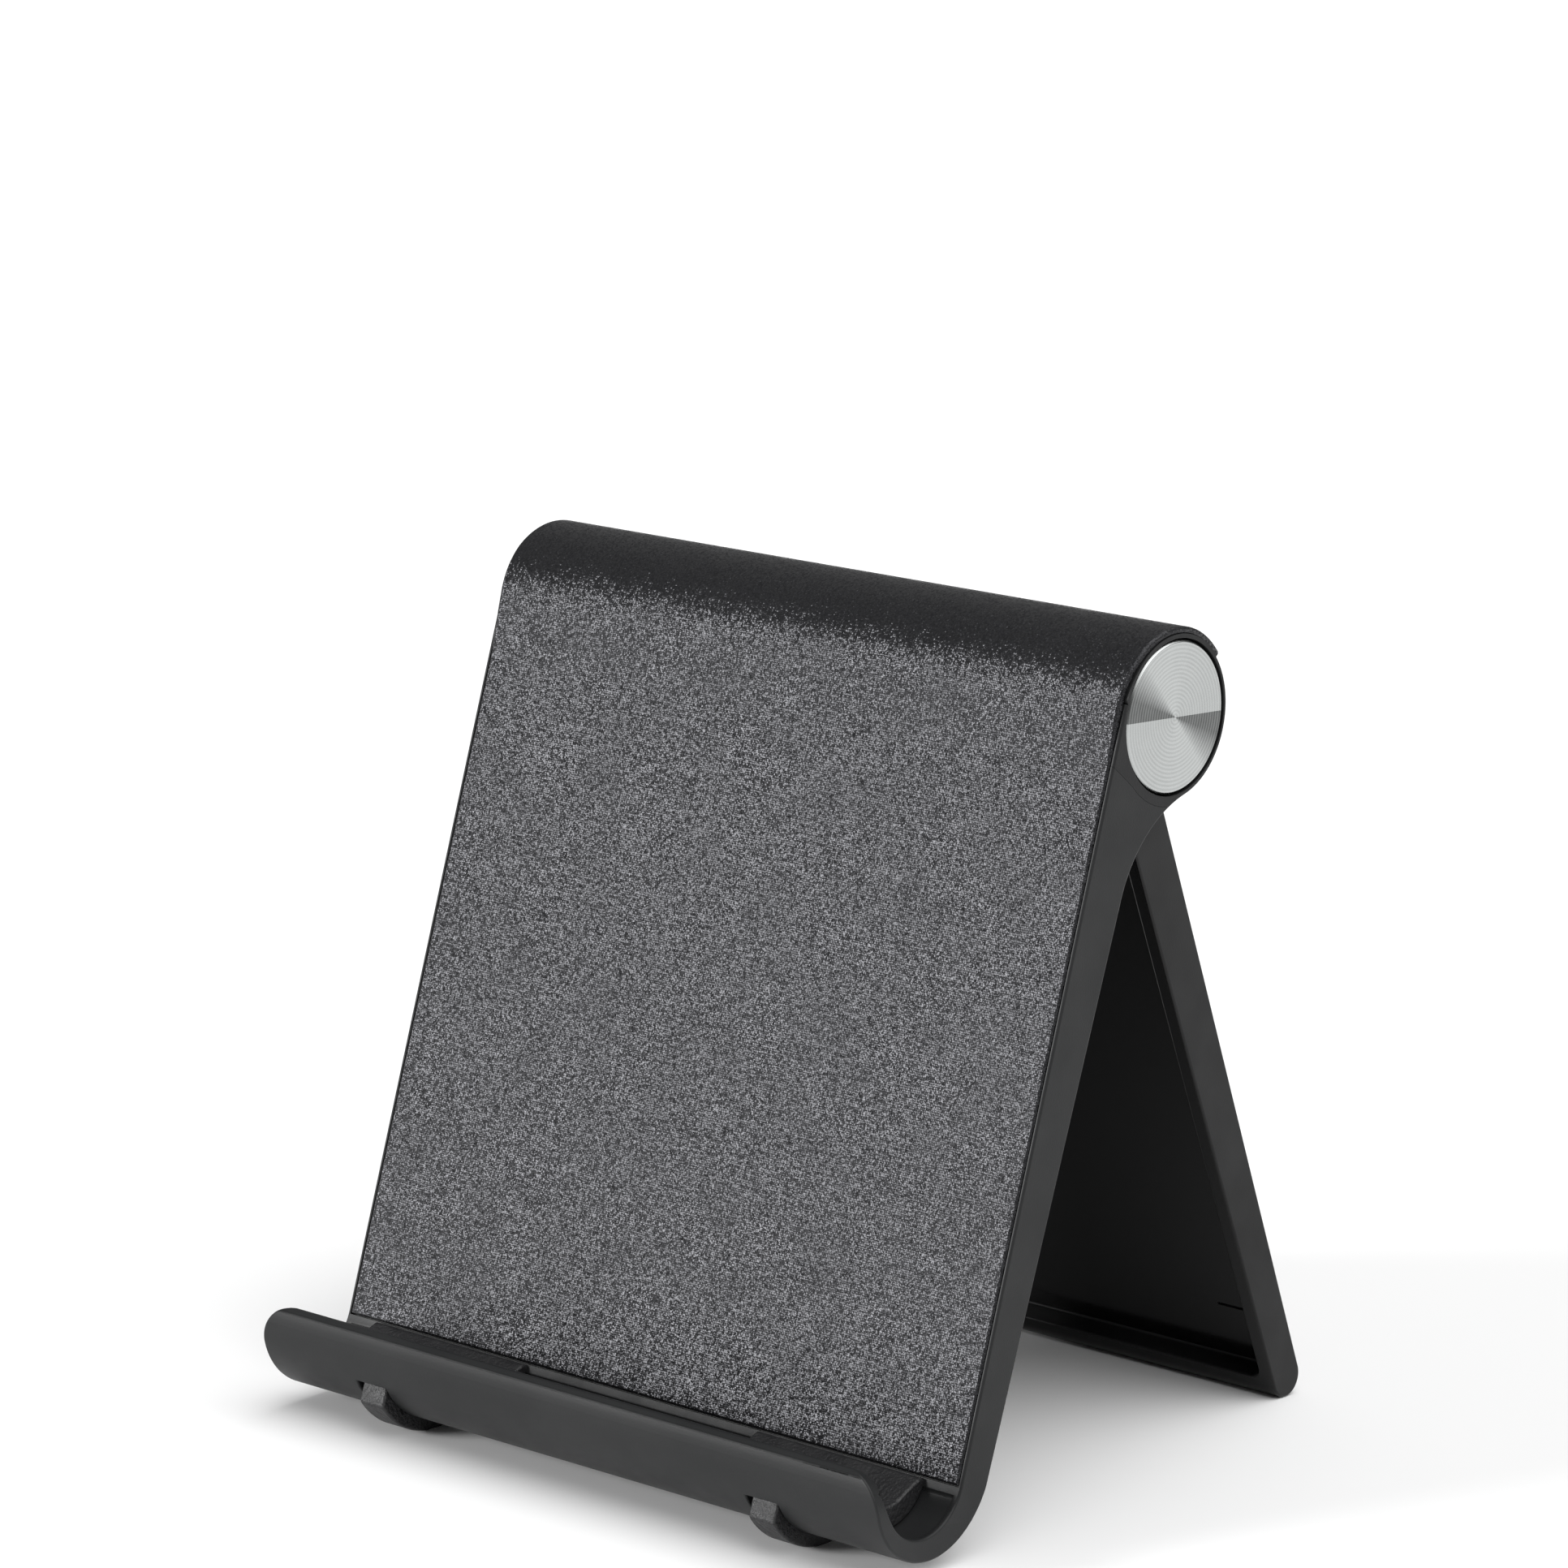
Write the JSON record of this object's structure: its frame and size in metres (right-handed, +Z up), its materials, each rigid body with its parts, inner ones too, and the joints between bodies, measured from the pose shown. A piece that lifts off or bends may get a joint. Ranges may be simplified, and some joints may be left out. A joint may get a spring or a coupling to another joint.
{
  "type": "phone stand",
  "caption": "Folding desk stand: a leaning front plate with a curved cradle at its foot holds a phone, and a rear leg on a friction hinge along the top sets the angle.",
  "frame": {"origin": "on the table surface, under the middle of the stand's bounding box", "axes": "+X across the stand to the right as the user faces it, +Y to the rear, +Z up"},
  "size_m": [0.086, 0.0818, 0.0915],
  "materials": {
    "body": "satin, fine moulded grain",
    "leg": "satin",
    "skin": "matte with a coarse sparkling grain",
    "pad": "matte",
    "disc": "spun, clear",
    "steel": "zinc plated",
    "adhesive": "matte",
    "nylon": "smooth"
  },
  "bodies": {
    "panel": {"front_plate": "body", "hinge_cap_left": "body", "hinge_cap_right": "body", "face_skin": "skin", "cradle_pad_left": "pad", "cradle_pad_right": "pad", "trim_disc_left": "disc", "trim_disc_right": "disc", "adhesive_disc_left": "adhesive", "adhesive_disc_right": "adhesive", "friction_washer_left": "nylon", "friction_washer_right": "nylon"},
    "leg": {"rear_leg": "leg", "hinge_screw_left": "steel", "hinge_screw_right": "steel", "spring_washer_left": "steel", "spring_washer_right": "steel", "flat_washer_left": "steel", "flat_washer_right": "steel", "lock_nut_left": "steel", "lock_nut_right": "steel"}
  },
  "joints": [
    {"name": "leg_hinge", "type": "hinge", "parent": "panel", "child": "leg", "pos_m": [0, 0.00441, 0.0822], "axis": [1, 0, 0], "range_deg": [-40, 58]}
  ]
}
